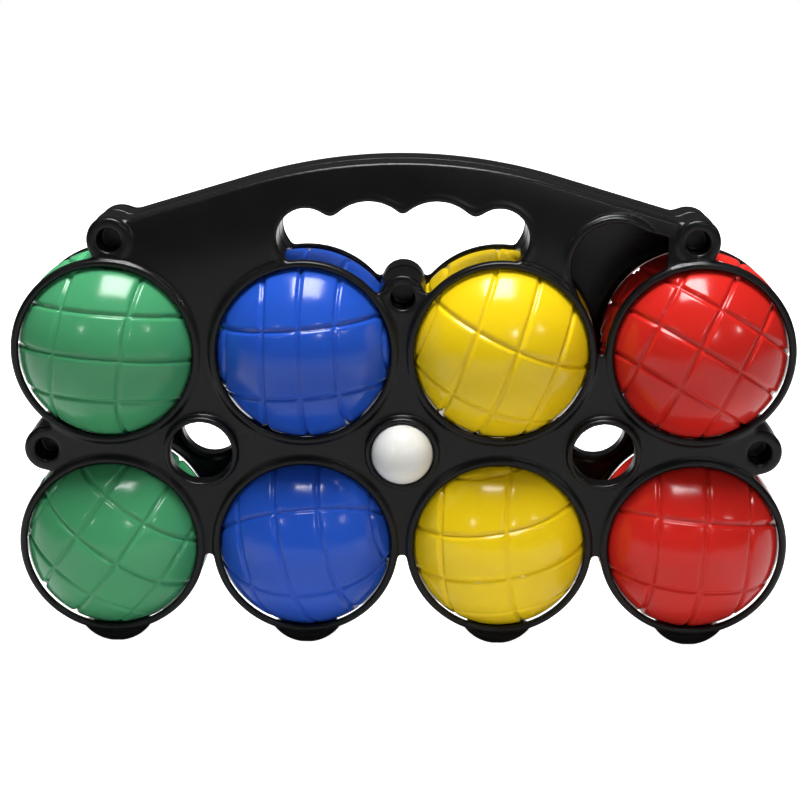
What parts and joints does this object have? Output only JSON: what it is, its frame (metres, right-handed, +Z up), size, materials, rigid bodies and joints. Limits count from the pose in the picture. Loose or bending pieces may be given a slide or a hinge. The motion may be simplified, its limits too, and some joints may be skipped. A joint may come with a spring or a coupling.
{
  "type": "bocce ball set",
  "caption": "Bocce balls with grooved covers and a small white jack, snapped into a black two-half moulded carrier with an arched handle and finger grip.",
  "frame": {"origin": "under the middle of the carrier, on the surface that its feet stand on", "axes": "+X along the width, to the right seen from the front; +Y from front to back; +Z up"},
  "size_m": [0.3075, 0.0754, 0.1972],
  "materials": {
    "carrier": "satin",
    "green": "gloss",
    "blue": "gloss",
    "yellow": "gloss",
    "red": "gloss",
    "white": "satin",
    "steel": "plated"
  },
  "bodies": {
    "carrier": {"front_panel": "carrier", "back_panel": "carrier", "screw_centre": "steel", "screw_shoulder_left": "steel", "screw_shoulder_right": "steel", "screw_end_left": "steel", "screw_end_right": "steel"},
    "green_bottom_ball": {"ball_green_bottom": "green", "ball_green_bottom_plug": "green"},
    "blue_bottom_ball": {"ball_blue_bottom": "blue", "ball_blue_bottom_plug": "blue"},
    "yellow_bottom_ball": {"ball_yellow_bottom": "yellow", "ball_yellow_bottom_plug": "yellow"},
    "red_bottom_ball": {"ball_red_bottom": "red", "ball_red_bottom_plug": "red"},
    "green_top_ball": {"ball_green_top": "green", "ball_green_top_plug": "green"},
    "blue_top_ball": {"ball_blue_top": "blue", "ball_blue_top_plug": "blue"},
    "yellow_top_ball": {"ball_yellow_top": "yellow", "ball_yellow_top_plug": "yellow"},
    "red_top_ball": {"ball_red_top": "red", "ball_red_top_plug": "red"},
    "jack_ball": {"jack": "white"}
  },
  "joints": [
    {"name": "green_bottom_ball_pull", "type": "slide", "parent": "carrier", "child": "green_bottom_ball", "axis": [0, -1, 0], "range_m": [0, 0.085], "deforming": ["front_panel"]},
    {"name": "blue_bottom_ball_pull", "type": "slide", "parent": "carrier", "child": "blue_bottom_ball", "axis": [0, -1, 0], "range_m": [0, 0.085], "deforming": ["front_panel"]},
    {"name": "yellow_bottom_ball_pull", "type": "slide", "parent": "carrier", "child": "yellow_bottom_ball", "axis": [0, -1, 0], "range_m": [0, 0.085], "deforming": ["front_panel"]},
    {"name": "red_bottom_ball_pull", "type": "slide", "parent": "carrier", "child": "red_bottom_ball", "axis": [0, -1, 0], "range_m": [0, 0.085], "deforming": ["front_panel"]},
    {"name": "green_top_ball_pull", "type": "slide", "parent": "carrier", "child": "green_top_ball", "axis": [0, -1, 0], "range_m": [0, 0.085], "deforming": ["front_panel"]},
    {"name": "blue_top_ball_pull", "type": "slide", "parent": "carrier", "child": "blue_top_ball", "axis": [0, -1, 0], "range_m": [0, 0.085], "deforming": ["front_panel"]},
    {"name": "yellow_top_ball_pull", "type": "slide", "parent": "carrier", "child": "yellow_top_ball", "axis": [0, -1, 0], "range_m": [0, 0.085], "deforming": ["front_panel"]},
    {"name": "red_top_ball_pull", "type": "slide", "parent": "carrier", "child": "red_top_ball", "axis": [0, -1, 0], "range_m": [0, 0.085], "deforming": ["front_panel"]},
    {"name": "jack_pull", "type": "slide", "parent": "carrier", "child": "jack_ball", "axis": [0, -1, 0], "range_m": [0, 0.045]}
  ]
}
